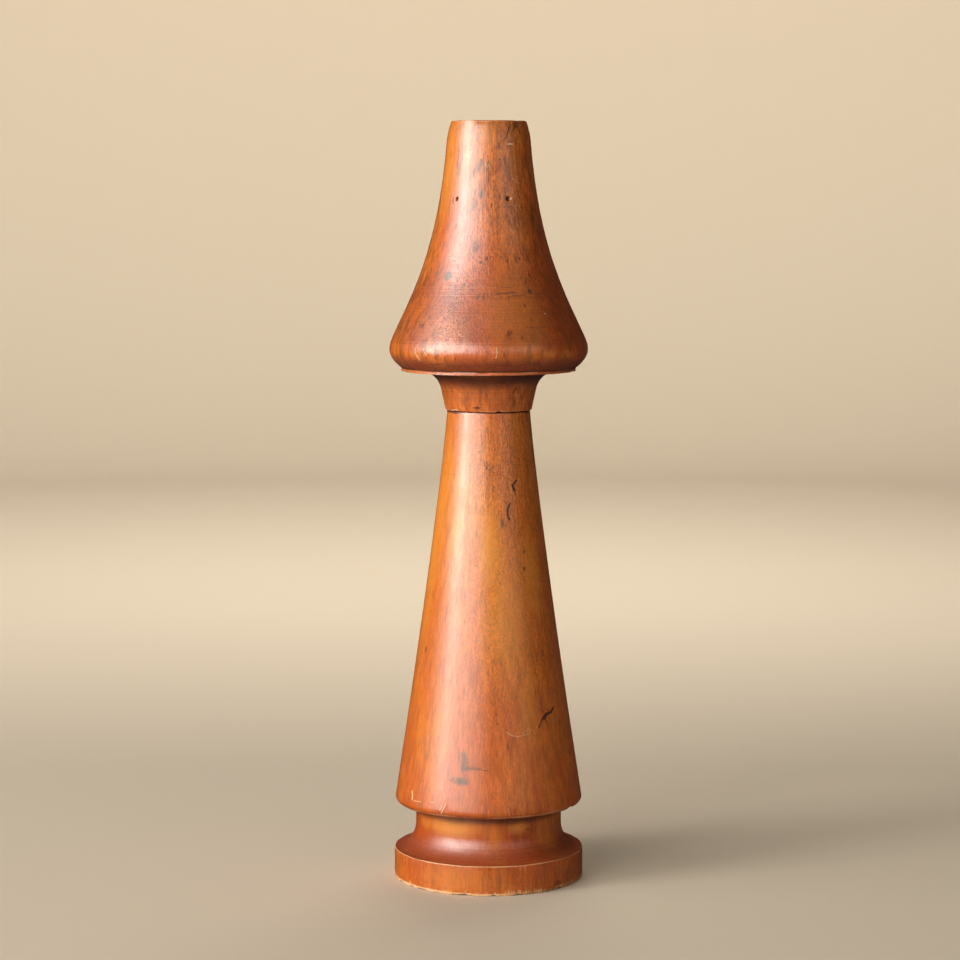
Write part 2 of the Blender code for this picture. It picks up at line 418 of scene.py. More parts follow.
# What both finishes share. A pattern is a noise: its stretch, waves to the metre, detail and
# roughness; a stretch is how far upright lengths are pressed together before the noise is read.
# A span holds the two ends of a smooth step, the larger one first where the step falls.
timber = {
    "stretches": {"long": 0.05, "short": 0.22, "squat": 0.55, "pith": 0.02},
    "patterns": {
        "streak": ("long", 700, 3, 0.65), "band": ("long", 130, 3, 0.55), "wobble": ("long", 28, 2, 0.5),
        "splinter": ("long", 900, 2, 0.7), "pore": ("short", 1500, 2, 0.55),
        "cloud": ("short", 38, 3, 0.55), "shade": ("short", 240, 3, 0.65),
        "grain": ("squat", 1250, 2, 0.7), "blotch": ("plain", 60, 3, 0.6),
        "cover": ("plain", 45, 2, 0.6), "dull": ("plain", 90, 3, 0.6), "shake": ("plain", 420, 2, 0.6)},
    "spans": {
        "ring": (-0.2, 1.0), "ringBand": (0.35, 0.6), "amber": (0.48, 0.72), "red": (0.50, 0.34),
        "dark": (0.50, 0.72), "light": (0.48, 0.30), "pore": (0.54, 0.70), "mottle": (0.53, 0.66),
        "right": (-22 * mm, 2 * mm), "markEdge": (0, 0.3), "mark": (0.15, 0.85),
        "endGrain": (0.12, 0.75), "toolRing": (0.35, 0.65), "toolLine": (0.50, 0.68),
        "line": (1.2, 0.7), "fleckSize": (0.22, 0.12), "fleckField": (0.40, 0.52), "worn": (1.1, 0.5)},
    "toneShake": 0.02, "redBlend": 0.4, "lightShare": 0.7,
    # gain and base of the fine grain high up and at the right, of streaks where it is, of end rings
    "crispHigh": (0.8, 0.55), "crispRight": (0.65, 0.5), "crispStreak": (0.5, 0.5),
    "endRing": (0.35, 0.5),
    "coarseFade": 2, "coarseShare": 0.6, "poreDepth": 0.4, "broken": 0.9, "lineRagged": 1.5,
    "markShake": (0.020, 0.0009, 0),  # turn in radians and length along in metres
    "toolScale": 1100, "toolDetail": 2, "toolShake": 0.0015, "paintedShadeFade": 1.0, "fleckScale": 270,
    "dulling": {"dull": 0.22, "streak": 0.16, "blotch": 0.12, "worn": 0.2, "endGrain": 0.16, "crack": 0.2},
    "relief": {"streak": 0.9, "pore": -0.6, "grain": -0.7, "blotch": 1.2, "endRing": 0.6, "lineRing": 0.8,
               "sideRing": 0.05},
    "reliefDepth": 0.1 * mm,
}


# Old varnished wood. Vertical streaks, pores and growth rings about a pith set off the axis, over a
# tone that changes with height; end grain, where the surface leans, is darker and shows turning rings;
# then stains, cracks, flecks and scratches, painted shade under the lip and the skirt, on the lip's band
# and at the seam, and pale wood along worn arrises.
def varnishedWood(name, piece, guide):
    look, spans = piece["look"], timber["spans"]
    finish = Finish(name)
    place = finish.node("ShaderNodeTexCoord", {}, {}, "Object")
    turned = finish.node("ShaderNodeUVMap", {"uv_map": "turned"}, {})
    height = finish.node("ShaderNodeSeparateXYZ", {}, {"Vector": place}, "Z")
    across = finish.node("ShaderNodeSeparateXYZ", {}, {"Vector": place}, "X")
    along = finish.node("ShaderNodeSeparateXYZ", {}, {"Vector": turned}, "Y")
    places = {"plain": place}
    for kind, pressed in timber["stretches"].items():
        places[kind] = finish.vector("MULTIPLY", place, (1, 1, pressed))

    def pattern(kind, output="Fac"):
        stretch, scale, detail, rough = timber["patterns"][kind]
        return finish.noise(places[stretch], scale, detail, rough, output)

    streak, band, pore, cloud = pattern("streak"), pattern("band"), pattern("pore"), pattern("cloud")
    blotch, grain, shade = pattern("blotch"), pattern("grain"), pattern("shade")
    # growth rings: sine of the distance from the pith, which wanders slowly with height
    pithDistance = finish.vector("DISTANCE", places["pith"], look["pith"], output="Value")
    ringPlace = pithDistance + pattern("wobble") * (look["ringWander"] * mm)
    sine = ringPlace.math("SINE", ringPlace * (2 * math.pi / (look["ringGap"] * mm)))
    rings = sine.ramp(*spans["ring"]) * band.ramp(*spans["ringBand"])

    tone = finish.node("ShaderNodeValToRGB", {"stops": look["tones"]}, {
        "Fac": (height + blotch.centred() * timber["toneShake"]) / look["toneHeight"]})
    wood = finish.mix(tone, look["amber"], cloud.ramp(*spans["amber"]) * look["amberShare"])
    redness = cloud.blend(blotch, timber["redBlend"]).ramp(*spans["red"])
    wood = finish.mix(wood, look["red"], redness * look["redShare"])
    wood = finish.mix(wood, look["deep"], rings * look["ringShare"])
    wood = finish.mix(wood, look["deep"], streak.ramp(*spans["dark"]) * look["streakShare"])
    lightShare = look["streakShare"] * timber["lightShare"]
    wood = finish.mix(wood, look["light"], streak.ramp(*spans["light"]) * lightShare)
    # fine grain is stronger high up and towards the right, and pores show more on the foot's side
    high, right = height.ramp(*(level * mm for level in look["crisp"])), across.ramp(*spans["right"])
    crisp = high.scaled(*timber["crispHigh"]) * right.scaled(*timber["crispRight"])
    coarseTop = look["coarse"] + timber["coarseFade"]
    coarse = height.ramp(coarseTop * mm, look["coarse"] * mm) * timber["coarseShare"]
    poreShare = crisp * look["poreShare"] + coarse
    wood = finish.mix(wood, look["deep"], pore.ramp(*spans["pore"]) * poreShare)
    mottle = shade.blend(cloud, 0.5).ramp(*spans["mottle"])
    wood = finish.mix(wood, look["smear"], mottle * look["mottleShare"])
    fine = (grain.centred() * look["grainDepth"] + pore.centred() * timber["poreDepth"]) * crisp
    depth = (1.0 - streak.centred() * look["streakDepth"] * crisp.scaled(*timber["crispStreak"]) - fine
             - (shade.centred() + blotch.centred()) * look["mottleDepth"])
    wood = finish.mix(wood, depth, 1.0, "MULTIPLY")

    # place on the turned surface, shaken so that marks are ragged, with a 1 for their offsets
    shaken = finish.vector("SUBTRACT", pattern("shake", "Color"), (0.5, 0.5, 0.5))
    still = finish.vector("ADD", turned, (0, 0, 1))
    spot = finish.vector("MULTIPLY_ADD", shaken, timber["markShake"], still)
    # paler glow patches; a few of them are painted light, on the waist under the skirt and the lit left of
    # the bell
    wood = finish.mix(wood, look["glow"], finish.share("glow"))
    # stains and smears are broken up by the streaks and by fine cloudiness
    broken = (streak.centred() + shade.centred()) * timber["broken"]
    for kind in ("stain", "smear"):
        patch = finish.share(kind)
        ragged = patch + broken * patch.ramp(*spans["markEdge"])
        wood = finish.mix(wood, look[kind], ragged.ramp(*spans["mark"]))

    # end grain, with fine rings left by the tool, which also show at some heights
    toolRings = finish.node("ShaderNodeTexNoise", {"noise_dimensions": "1D"}, {
        "W": along + blotch * timber["toolShake"], "Scale": timber["toolScale"],
        "Detail": timber["toolDetail"]}, "Fac")
    endGrain = abs(finish.share("lean")).ramp(*spans["endGrain"])
    unsteady = cloud.centred() * timber["lineRagged"]
    lined = largest([(abs(height - level * mm) / (reach * mm) + unsteady).ramp(*spans["line"]) * strength
                     for level, reach, strength in look["lines"]])
    wood = finish.mix(wood, look["deep"], toolRings.ramp(*spans["toolLine"]) * lined)
    endRings = toolRings.ramp(*spans["toolRing"]).scaled(*timber["endRing"])
    wood = finish.mix(wood, look["endGrain"], endGrain * endRings)

    # painted shade: darker bands under the lip, on the lip's band, on the waist under the skirt and just
    # below the seam, where light falls off
    paintedShadeMasks = []
    for edge, start, full, stop, strength in look["paintedShade"]:
        past = (along - guide["middles"][edge]) / mm + blotch.centred() * look["paintedShadeSway"]
        paintedShadeMasks.append(past.ramp(start, full) * past.ramp(stop + timber["paintedShadeFade"], stop) * strength)
    wood = finish.mix(wood, look["paintedShadeColour"], largest(paintedShadeMasks))
    wood = finish.mix(wood, look["scratch"], strokes(finish, spot, guide, look["scratches"]))
    # flecks lie in the cells of a Voronoi pattern, where clouds and bands let them show
    cell = finish.node("ShaderNodeTexVoronoi", {}, {
        "Vector": places["short"], "Scale": timber["fleckScale"]}, "Distance")
    shown = cloud.blend(band, 0.5).ramp(*spans["fleckField"])
    wood = finish.mix(wood, look["fleck"], cell.ramp(*spans["fleckSize"]) * shown * look["flecks"])
    dark = specks(finish, spot, guide, look["specks"])
    crack = largest([strokes(finish, spot, guide, look["cracks"]), dark])
    wood = finish.mix(wood, look["crack"], crack)

    # worn arrises: pale where the distance from the arris, made ragged by splinters, is small
    splinter, cover = pattern("splinter"), pattern("cover")
    wornMasks = []
    for edge, width, ragged, patchy, strength in look["wornEdges"]:
        reach = splinter.centred() * ragged + cover.centred() * patchy
        away = abs(along - guide["middles"][edge]) / (width * mm)
        wornMasks.append((away - reach).ramp(*spans["worn"]) * strength)
    worn = largest(wornMasks)
    wood = finish.mix(wood, look["pale"], worn)

    dulling, depths = timber["dulling"], timber["relief"]
    roughness = (look["roughness"] + pattern("dull").centred() * dulling["dull"]
                 + streak.centred() * dulling["streak"] + blotch.centred() * dulling["blotch"]
                 + worn * dulling["worn"] + endGrain * dulling["endGrain"] + crack * dulling["crack"])
    ringDepth = endGrain * depths["endRing"] + lined * depths["lineRing"] + depths["sideRing"]
    relief = (streak * depths["streak"] + pore * depths["pore"] + grain * depths["grain"]
              + blotch * depths["blotch"] + toolRings * ringDepth)
    bump = finish.node("ShaderNodeBump", {}, {
        "Height": relief, "Distance": timber["reliefDepth"], "Strength": look["relief"]}, "Normal")
    finish.surface({"Base Color": wood, "Roughness": roughness, "Normal": bump, "IOR": look["index"],
                    "Coat Weight": look["coat"], "Coat Roughness": look["coatRoughness"]})
    print(f"{name}: {len(finish.tree.nodes)} nodes")
    return finish.material


# The stem: foot, cove, waist and the long cone
stem = {
    "footRadius": 57.4 * mm, "footHeight": 18.1 * mm, "footEdge": 0.6 * mm,
    "coveHeight": 14.7 * mm, "waistUndercut": 12.4 * mm, "waistHeight": 12.7 * mm,
    "skirtRadius": 56.7 * mm, "skirtRound": 3.7 * mm,
    "length": 239.1 * mm, "topRadius": 24.95 * mm, "topEdge": 0.5 * mm,
    "upperLength": 66.5 * mm, "upperTaper": 7.5 * mm, "hollow": 0.55 * mm, "topLean": 4.9,
    "build": {"rows": 236, "columns": 400, "step": 2.2 * mm, "turnStep": 0.2, "busy": [], "softened": []},
    "oval": 0.10, "ovalTurn": 0.7, "wander": 0.06, "seed": 1,
    # dents: turn, height, width and depth; arris wear: arris, width, depth, wavelength, how much of it
    "dents": [
        (-55, 56, 4, 0.3), (-27, 50, 4, 0.35), (-16, 46, 3, 0.5), (64, 46, 7, 0.9), (13, 47, 3, 0.4),
        (150, 120, 9, 0.3), (-120, 200, 8, 0.25), (100, 60, 6, 0.4), (-160, 70, 7, 0.3), (-14, 0, 3, 0.9),
        (3, 0, 2.5, 0.8), (18, 0, 3, 1.0), (48, 1, 4, 0.6), (130, 0, 6, 0.8), (-95, 47, 5, 0.5)],
    "holes": [],
    "arrisWear": [("footArris", 1.5, 0.55, 7, 0.3), ("footTopArris", 1.2, 0.35, 18, 0.3),
                  ("skirt", 2.4, 0.25, 22, 0.2)],
    "look": {
        "toneHeight": 0.285,
        "tones": [
            (0.0, paint(206, 104, 34)), (0.09, paint(184, 78, 16)), (0.145, paint(176, 72, 10)),
            (0.20, paint(204, 100, 34)), (0.45, paint(206, 107, 35)), (0.75, paint(214, 119, 36)),
            (1.0, paint(206, 112, 38))],
        "amber": paint(226, 138, 46), "amberShare": 0.55, "red": paint(186, 84, 36), "redShare": 0.45,
        "deep": paint(140, 62, 24), "light": paint(228, 140, 64), "endGrain": paint(136, 50, 10),
        "pith": (0.035, 0.075, 0.0), "ringGap": 4.2, "ringWander": 26, "ringShare": 0.22,
        "streakShare": 0.32, "poreShare": 0.23, "mottleShare": 0.22, "mottleDepth": 0.35,
        "streakDepth": 0.55, "grainDepth": 1.15, "crisp": (80, 160), "coarse": 17, "flecks": 0.22,
        "glow": paint(238, 152, 52), "stain": paint(98, 72, 52), "smear": paint(120, 58, 30),
        "pale": paint(232, 172, 112), "scratch": paint(248, 208, 160), "fleck": paint(98, 34, 10),
        "crack": paint(56, 22, 10), "paintedShadeColour": paint(66, 20, 3), "paintedShadeSway": 4,
        "roughness": 0.335, "index": 1.85, "coat": 0.30, "coatRoughness": 0.28, "relief": 0.8,
        # patches: turn, height, tall, wide, lean, strength
        # the patch at turn 24, height 38 is painted light, lifting the shade on the waist under the skirt
        "glows": [
            (0, 205, 40, 12, 0, 0.65), (-38, 222, 60, 9, 0, 0.3), (-62, 235, 70, 12, 0, 0.35),
            (-72, 212, 110, 15, 0, 0.5), (18, 165, 70, 22, 0, 0.45), (-20, 9, 16, 36, 0, 0.3),
            (-22, 9, 18, 20, 0, 0.3), (-58, 38, 9, 14, 0, 0.4), (24, 38, 7, 12, 0, 0.6),
            (30, 120, 50, 12, 0, 0.3), (46, 186, 46, 14, 0, 0.45), (-5, 163, 50, 10, 0, 0.25),
            (-30, 38, 12, 30, 0, 0.7), (140, 180, 70, 16, 0, 0.4), (-140, 120, 60, 18, 0, 0.4)],
        "stains": [
            (-18, 80, 13, 7, 0, 0.6), (-16, 75.5, 4, 13, 0, 0.55), (-18.5, 68, 5, 13, 4, 0.7),
            (-20, 87, 3, 3, 0, 0.5), (15, 219, 8, 4, 0, 0.6), (-24, 97, 8, 2, 0, 0.3),
            (165, 150, 8, 4, 10, 0.5), (-110, 80, 5, 9, 0, 0.5)],
        "smears": [
            (-74, 172, 4, 4, 0, 0.5), (-60, 175, 5, 9, 65, 0.45), (13, 90, 7, 2.5, 8, 0.45),
            (15, 93, 2.5, 3, 0, 0.5), (60, 98, 12, 3, 0, 0.5), (70, 79, 5, 4, 0, 0.6),
            (17, 52, 8, 5, 0, 0.3), (56, 8, 12, 10, 0, 0.45), (47, 4, 4, 8, 0, 0.5),
            (-61, 142, 5, 3, 0, 0.4), (-5, 5, 8, 3, 0, 0.2), (120, 40, 10, 14, 0, 0.4),
            (-100, 150, 7, 3, 0, 0.4)],
        # strokes: width, strength and the points, each a turn and a height
        "scratches": [
            (0.7, 0.9, [(-56, 58), (-55, 53)]), (0.5, 0.45, [(-53, 52.5), (-46, 53)]),
            (0.9, 0.5, [(-37.6, 54), (-36.6, 54)]), (0.6, 0.65, [(-27, 54.5), (-30, 48)]),
            (0.5, 0.45, [(-29, 54), (-31, 50)]), (0.5, 0.45, [(12, 97), (16, 95), (20, 94), (28, 95)]),
            (0.4, 0.4, [(24, 95.5), (28, 98), (32, 97), (34, 94)]), (1.2, 0.7, [(-16, 45.8), (-15, 45.8)]),
            (1.2, 0.6, [(63.5, 46.2), (64.5, 46.4)]), (0.6, 0.6, [(-14, 0.5), (-14, 3)]),
            (0.6, 0.6, [(18, 0.5), (18, 3.4)]), (0.5, 0.5, [(16, 0.5), (16.2, 2.2)]),
            (0.6, 0.5, [(3, 0.5), (3, 1.6)]), (0.6, 0.7, [(125, 66), (118, 74)]),
            (0.5, 0.6, [(-150, 204), (-147, 215)]), (1.3, 0.95, [(-76, 1.0), (-50, 1.0), (-25, 0.9)]),
            (1.1, 0.8, [(-25, 0.9), (10, 0.9)])],
        "cracks": [
            (0.8, 0.6, [(-6, 256), (-5.5, 254), (-2, 251.5)]),
            (0.8, 0.55, [(0, 251), (3, 251.3), (6, 253)]),
            (0.6, 0.5, [(-4, 255.5), (0, 253.5), (-3, 252)]),
            (0.5, 0.4, [(4, 250), (16, 247.5), (29, 244)]), (1.3, 1.0, [(34, 244), (28.5, 241.5)]),
            (1.7, 1.0, [(28.5, 241.5), (30.5, 238.6)]), (0.6, 0.7, [(30.5, 238.6), (31, 236)]),
            (1.1, 0.95, [(24, 231), (20.8, 227), (20.5, 224.5), (22.5, 221.5)]),
            (1.6, 0.95, [(54, 108), (51, 105.8), (45, 105)]), (2.3, 0.95, [(45.5, 105), (42.5, 103)]),
            (1.2, 0.7, [(42.5, 103.5), (40, 101.5), (37.5, 98)]), (0.8, 0.6, [(50, 106), (47, 108)]),
            (0.8, 0.6, [(44, 103), (45, 100)]), (0.55, 0.6, [(-14, 76), (-1, 74.8)]),
            (0.5, 0.45, [(-12, 77), (-4, 75.6)]), (0.5, 0.5, [(-48, 71), (-47, 67), (-46, 64)]),
            (0.8, 0.6, [(13, 53), (14, 47)]), (0.9, 0.8, [(132, 143), (135, 137)]),
            (0.7, 0.7, [(-130, 233), (-132, 227)]), (0.8, 0.7, [(178, 92), (182, 87)])],
        "specks": [
            (38, 202, 2.6, 1.4, 0, 0.7), (36, 192, 2.6, 1.7, 0, 0.8), (54, 194, 2.2, 1.2, 0, 0.4),
            (-61, 142, 3.4, 1.6, 0, 0.6), (-12, 194, 1.1, 0.9, 0, 0.5), (-18, 191, 3, 0.6, 0, 0.3),
            (10, 184, 1.2, 0.9, 0, 0.4), (-56, 153, 1.2, 0.9, 0, 0.4), (6, 102, 1.3, 1.3, 0, 0.6),
            (5, 84, 1.8, 1.6, 0, 0.4), (32, 36, 1.2, 1.6, 0, 0.8), (34.5, 35, 0.9, 1, 0, 0.6),
            (26, 38, 0.8, 1, 0, 0.5), (-28, 60, 0.8, 0.7, 0, 0.4), (95, 160, 2, 1.4, 0, 0.6),
            (-170, 215, 2.4, 1.3, 0, 0.6)],
        "lines": [(29, 5, 0.35), (60, 3, 0.2), (250, 4, 0.2)],
        # painted shade just below the seam and on the waist under the skirt: nearest stretch, then mm
        # along from its middle where it starts, is full and stops
        "paintedShade": [("smallEnd", -1.0, -0.6, 3, 0.8), ("skirtUnder", -11.5, -7.0, 4.4, 0.65)],
        # worn arrises: arris, width, raggedness, patchiness, strength
        "wornEdges": [("footArris", 1.5, 8.0, 4.0, 1.0), ("footTopArris", 0.42, 0.8, 3.0, 0.75),
                      ("skirt", 0.5, 2.0, 7.0, 0.4)],
    },
}

waistRadius = stem["skirtRadius"] - stem["waistUndercut"]
coveTop = stem["footHeight"] + stem["coveHeight"]
skirtLow = coveTop + stem["waistHeight"]
stemTop = skirtLow + stem["length"]
jointGap = 0.3 * mm


def stemStretches():
    edge, foot = stem["footEdge"], stem["footRadius"]
    inner = foot - edge
    bend = (stem["topRadius"] + stem["upperTaper"], stemTop - stem["upperLength"])
    slope = (stem["skirtRadius"] - bend[0]) / (bend[1] - skirtLow)
    extra = 4 * stem["hollow"] / (bend[1] - skirtLow)
    leaveLean, bendLean = math.degrees(math.atan(slope + extra)), math.degrees(math.atan(slope - extra))
    curve = stem["skirtRound"]
    skirt = roundStretch((stem["skirtRadius"] - curve, skirtLow + curve), curve, curve, -90, leaveLean)
    topEdge = stem["topEdge"]
    smallEnd = roundStretch((stem["topRadius"] - topEdge, stemTop - topEdge), topEdge, topEdge, 0, 90)
    return {
        "underside": hollowStretch((0, 0), (inner, 0)),
        "footArris": roundStretch((inner, edge), edge, edge, -90, 0),
        "footSide": hollowStretch((foot, edge), (foot, stem["footHeight"] - edge)),
        "footTopArris": roundStretch((inner, stem["footHeight"] - edge), edge, edge, 0, 90),
        "cove": roundStretch((inner, coveTop), inner - waistRadius, stem["coveHeight"], 270, 180,
                             sampling["cove"]),
        "waist": hollowStretch((waistRadius, coveTop), (waistRadius, skirtLow)),
        "skirtUnder": hollowStretch((waistRadius, skirtLow), skirt[0]),
        "skirt": skirt,
        "side": hollowStretch(skirt[-1], bend, stem["hollow"]),
        "flare": sweptStretch(bend, smallEnd[0], bendLean, stem["topLean"]),
        "smallEnd": smallEnd,
        "smallEndFace": hollowStretch(smallEnd[-1], (0, stemTop)),
    }


stemPiece, stemGuide = turnedPiece("stem_turning", stemStretches(), stem)
stemPiece.data.materials.append(varnishedWood("amber_varnished_stem", stem, stemGuide))

# The cap: collar, lip with its thin band, and the hollow bell up to the flat top
cap = {
    "seat": stemTop + jointGap, "seatRadius": 26.05 * mm, "height": 172.1 * mm,
    "collarHeight": 23.5 * mm, "collarEdge": 0.5 * mm, "collarFlare": 12, "collarCove": 13.8 * mm,
    "lipRadius": 59.8 * mm, "lipRise": 12.9 * mm, "lipUpperRound": 14.3 * mm,
    "bandSetback": 7.3 * mm, "bandHeight": 2.0 * mm, "bandQuirk": 0.3 * mm,
    "bellLean": 25.2, "bellStraight": 19.0 * mm, "neckRadius": 25.3 * mm, "neckLean": 4.6,
    "shoulder": 13.0 * mm, "shoulderLean": 16, "topRadius": 22.7 * mm, "topEdge": 0.5 * mm,
    # busy: height, reach and how much finer the rows are; softened: height and reach
    "build": {"rows": 236, "columns": 400, "step": 2.0 * mm, "turnStep": 0.2, "busy": [(410.5, 3.5, 3)],
              "softened": [(327.4, 6)]},
    "oval": 0.08, "ovalTurn": -0.4, "wander": 0.07, "seed": 11,
    "dents": [
        (4, 322, 3, -0.3), (-46, 320, 4, 0.2), (-40, 321, 3, 0.2), (-30, 318, 9, 0.2), (34, 321, 9, 0.2),
        (50, 319, 8, 0.25), (73, 311, 6, 0.9), (-70, 322, 8, 0.3), (-12, 316, 9, 0.2), (14, 317, 7, 0.18),
        (120, 330, 8, 0.4), (-140, 318, 7, 0.5), (160, 316, 8, 0.3), (50, 456, 5, 0.4),
        (-50, 285.5, 4, 0.6), (14, 285.4, 3, 0.6), (-100, 456, 6, 0.4)],
    # holes: turn, height and width
    "holes": [(-40, 411, 1.9), (23, 411, 2.5), (150, 411, 2.2), (-115, 409, 1.8)],
    "arrisWear": [("collarArris", 0.9, 0.18, 8, 0.1), ("bandFace", 1.3, 0.2, 15, 0.2),
                  ("topArris", 1.1, 0.35, 10, 0.25), ("lipUpper", 7.0, 0.10, 6, 0.1)],
    "look": {
        "toneHeight": 0.457,
        "tones": [
            (0.62, paint(212, 112, 44)), (0.668, paint(208, 106, 40)), (0.68, paint(192, 88, 30)),
            (0.76, paint(196, 92, 28)), (0.86, paint(198, 96, 30)), (0.95, paint(206, 110, 36)),
            (1.0, paint(212, 120, 42))],
        "amber": paint(218, 128, 42), "amberShare": 0.6, "red": paint(180, 80, 36), "redShare": 0.45,
        "deep": paint(124, 56, 24), "light": paint(218, 134, 60), "endGrain": paint(104, 32, 4),
        "pith": (-0.05, 0.09, 0.0), "ringGap": 4.6, "ringWander": 30, "ringShare": 0.22,
        "streakShare": 0.35, "poreShare": 0.36, "mottleShare": 0.50, "mottleDepth": 0.9,
        "streakDepth": 0.7, "grainDepth": 0.80, "crisp": (280, 430), "coarse": 0, "flecks": 0.7,
        "glow": paint(228, 144, 56), "stain": paint(96, 68, 48), "smear": paint(96, 44, 24),
        "pale": paint(218, 124, 62), "scratch": paint(246, 214, 174), "fleck": paint(100, 34, 10),
        "crack": paint(62, 22, 8), "paintedShadeColour": paint(66, 24, 8), "paintedShadeSway": 3,
        "roughness": 0.31, "index": 1.90, "coat": 0.30, "coatRoughness": 0.25, "relief": 1.35,
        # the long patch at turn -64, height 430 is painted light: the warm, yellower look of the lit left
        # of the bell
        "glows": [
            (-20, 330, 30, 14, 0, 0.15), (18, 345, 46, 34, 0, 0.4), (-64, 430, 60, 12, 0, 0.6),
            (36, 321, 5, 9, 0, 0.5), (50, 320, 6, 10, 0, 0.45), (-46, 320, 6, 10, 0, 0.4),
            (-2, 450, 14, 9, 0, 0.4), (140, 380, 60, 20, 0, 0.3), (-130, 360, 50, 20, 0, 0.3)],
        "stains": [
            (-7, 430, 9.5, 7.5, 0, 0.55), (25, 430, 18, 9, 0, 0.4), (-38, 429, 14, 4, 0, 0.35),
            (-10, 414, 7, 4, 15, 0.6), (-17, 406, 6, 3, 30, 0.45), (-13, 409, 7, 1.6, 30, 0.35),
            (-16, 398, 3, 3, 0, 0.45), (-15, 389, 3, 3, 0, 0.3), (26, 388, 3, 2.5, 0, 0.35),
            (-35, 366, 7, 6, 30, 0.75), (-47, 367, 4, 4, 0, 0.55), (-20, 361, 4, 3, 0, 0.45),
            (30, 361, 8, 4, 0, 0.5), (-34, 342, 4, 3, 0, 0.35), (-38, 384, 4, 2, 0, 0.35),
            (150, 350, 9, 6, 0, 0.5), (-120, 400, 8, 6, 0, 0.5)],
        "smears": [
            (40, 454, 5, 15, 0, 0.5), (62, 440, 26, 8, 0, 0.35), (42, 384, 1.2, 5, 0, 0.5),
            (-20, 333, 2, 2, 0, 0.3), (12, 333, 6, 5, 30, 0.55), (-46, 337, 3, 3, 0, 0.6),
            (-62, 378, 7, 1.6, 20, 0.5), (-16, 288, 1.6, 6, 0, 0.8), (60, 395, 14, 5, 0, 0.35),
            (70, 340, 8, 6, 0, 0.35), (45, 425, 12, 4, 0, 0.3), (110, 430, 9, 5, 0, 0.4),
            (-150, 330, 6, 8, 0, 0.4)],
        "scratches": [
            (0.6, 1.0, [(26, 443), (34, 443)]), (0.5, 0.4, [(30, 423), (40, 420)]),
            (0.7, 0.25, [(-38, 376.2), (-31, 375.8)]), (0.6, 0.55, [(4, 325.5), (4.4, 322), (4, 319)]),
            (0.6, 0.45, [(-46.5, 324), (-46, 320), (-43.5, 317)]), (0.5, 0.4, [(-40.5, 324), (-38, 320)]),
            (1.0, 0.6, [(40, 344), (40.6, 344)]), (0.4, 0.45, [(-4, 432), (-2, 429)]),
            (0.4, 0.35, [(-1, 431), (1, 430)]), (1.2, 0.7, [(-56, 285.2), (-47, 285.2)]),
            (1.0, 0.7, [(13, 285.2), (16, 285.2)]), (0.9, 0.5, [(26.5, 411), (27, 411.6)])],
        "cracks": [
            (0.8, 0.85, [(30, 453), (27.5, 450.5), (25, 448)]), (0.6, 0.75, [(25, 448), (20, 445)]),
            (0.5, 0.6, [(-32, 375), (-27, 371), (-22, 365)]),
            (0.8, 0.65, [(6, 356), (13, 356.2), (20, 356.8)]), (0.6, 0.5, [(9, 359.4), (17, 359.3)]),
            (0.7, 0.55, [(14, 354.4), (27, 354.9)]), (0.8, 0.5, [(24, 336.5), (32, 336)]),
            (0.6, 0.4, [(34, 336.2), (41, 337)]), (0.5, 0.4, [(10, 406), (25, 406.4), (40, 406)]),
            (0.6, 0.7, [(140, 446), (146, 438)]), (0.4, 0.5, [(-160, 380), (-150, 372)])],
        "specks": [
            (-40, 411, 2.2, 1.7, 0, 1), (23, 411, 2.5, 2.4, 0, 1), (150, 411, 2.3, 2.2, 0, 1),
            (-115, 409, 2, 1.8, 0, 1), (14, 434, 1.4, 1.4, 0, 0.8), (-16, 416, 1.3, 1, 0, 0.4),
            (-2, 376, 2.0, 1.6, 0, 0.9), (-7, 374, 2.0, 1.9, 0, 0.85), (28, 376, 2.0, 1.4, 0, 0.7),
            (32, 357, 3.0, 2.6, 0, 0.8), (-8, 354, 4, 1.4, 20, 0.7), (-4, 354, 4, 1.4, 0, 0.75),
            (-21, 340, 1.2, 1.1, 0, 0.6), (69, 355, 2, 1.6, 0, 0.5), (-46, 337, 1.6, 1.2, 0, 0.6),
            (12, 334, 2.2, 2, 0, 0.5), (100, 370, 2, 1.6, 0, 0.7), (-170, 360, 2, 1.6, 0, 0.7)],
        # turning lines: height, reach, strength
        "lines": [(292, 9, 0.25), (357, 5, 0.3), (407, 4, 0.2), (326, 4, 0.2)],
        # painted shade on the collar's top under the lip, and on the lip's narrow band
        "paintedShade": [("lipUnderside", -25, -12, 4.6, 0.9), ("bandFace", 0.2, 0.9, 1.8, 0.8)],
        "wornEdges": [("collarArris", 0.5, 2.5, 7.0, 0.8), ("bandFace", 0.7, 0.8, 2.5, 0.4),
                      ("topArris", 0.45, 1.0, 4.0, 0.6)],
    },
}
capTop = cap["seat"] + cap["height"]
lipUnder = cap["seat"] + cap["collarHeight"]


